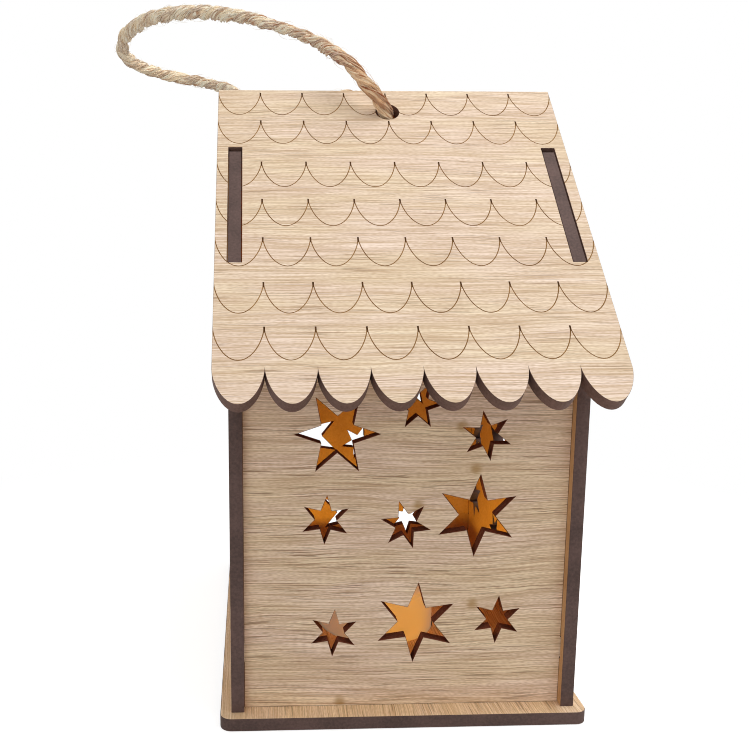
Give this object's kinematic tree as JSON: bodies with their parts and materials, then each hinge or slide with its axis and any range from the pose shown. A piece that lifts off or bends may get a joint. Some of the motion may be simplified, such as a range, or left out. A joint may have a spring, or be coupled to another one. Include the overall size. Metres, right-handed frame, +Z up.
{
  "type": "led lantern",
  "caption": "Small wooden house lantern of slotted laser-cut sheets with star cut-outs, scalloped roof, jute hanging loop and an LED tea light in the base.",
  "frame": {"origin": "middle of the base plate's underside", "axes": "+Z up, the pictured front faces -Y, +X to the viewer's right along the ridge"},
  "size_m": [0.1471, 0.2273, 0.2147],
  "materials": {
    "oak_veneer": "unfinished pale veneer on fibreboard, cut edges browned by the laser",
    "jute": "two-ply twisted jute",
    "ivory_plastic": "satin moulded",
    "flame_plastic": "frosted, lit from inside",
    "lamp_resin": "clear moulded lens",
    "cell_steel": "bright",
    "nickel_strip": "nickel plated",
    "black_plastic": "satin moulded"
  },
  "bodies": {
    "house": {"base_plate": "oak_veneer", "left_side_wall": "oak_veneer", "right_side_wall": "oak_veneer", "front_panel": "oak_veneer", "back_panel": "oak_veneer", "front_roof_panel": "oak_veneer", "back_roof_panel": "oak_veneer", "hanging_cord": "jute", "cord_knot": "jute"},
    "tea_light": {"light_shell": "ivory_plastic", "flame_tip": "flame_plastic", "led_lamp": "lamp_resin", "light_floor": "ivory_plastic", "coin_cell": "cell_steel", "positive_contact": "nickel_strip", "negative_contact": "nickel_strip", "switch_lead": "nickel_strip", "switch_body": "black_plastic"},
    "switch": {"switch_slider": "black_plastic"},
    "door": {"battery_door": "ivory_plastic"}
  },
  "joints": [
    {"name": "tea_light_pull", "type": "slide", "parent": "house", "child": "tea_light", "axis": [0, 0, -1], "range_m": [0, 0.04]},
    {"name": "switch_slide", "type": "slide", "parent": "tea_light", "child": "switch", "axis": [1, 0, 0], "range_m": [0, 0.002]},
    {"name": "battery_door_swing", "type": "hinge", "parent": "tea_light", "child": "door", "pos_m": [0, 0.0149, 0.0018], "axis": [1, 0, 0], "range_deg": [0, 100]}
  ]
}
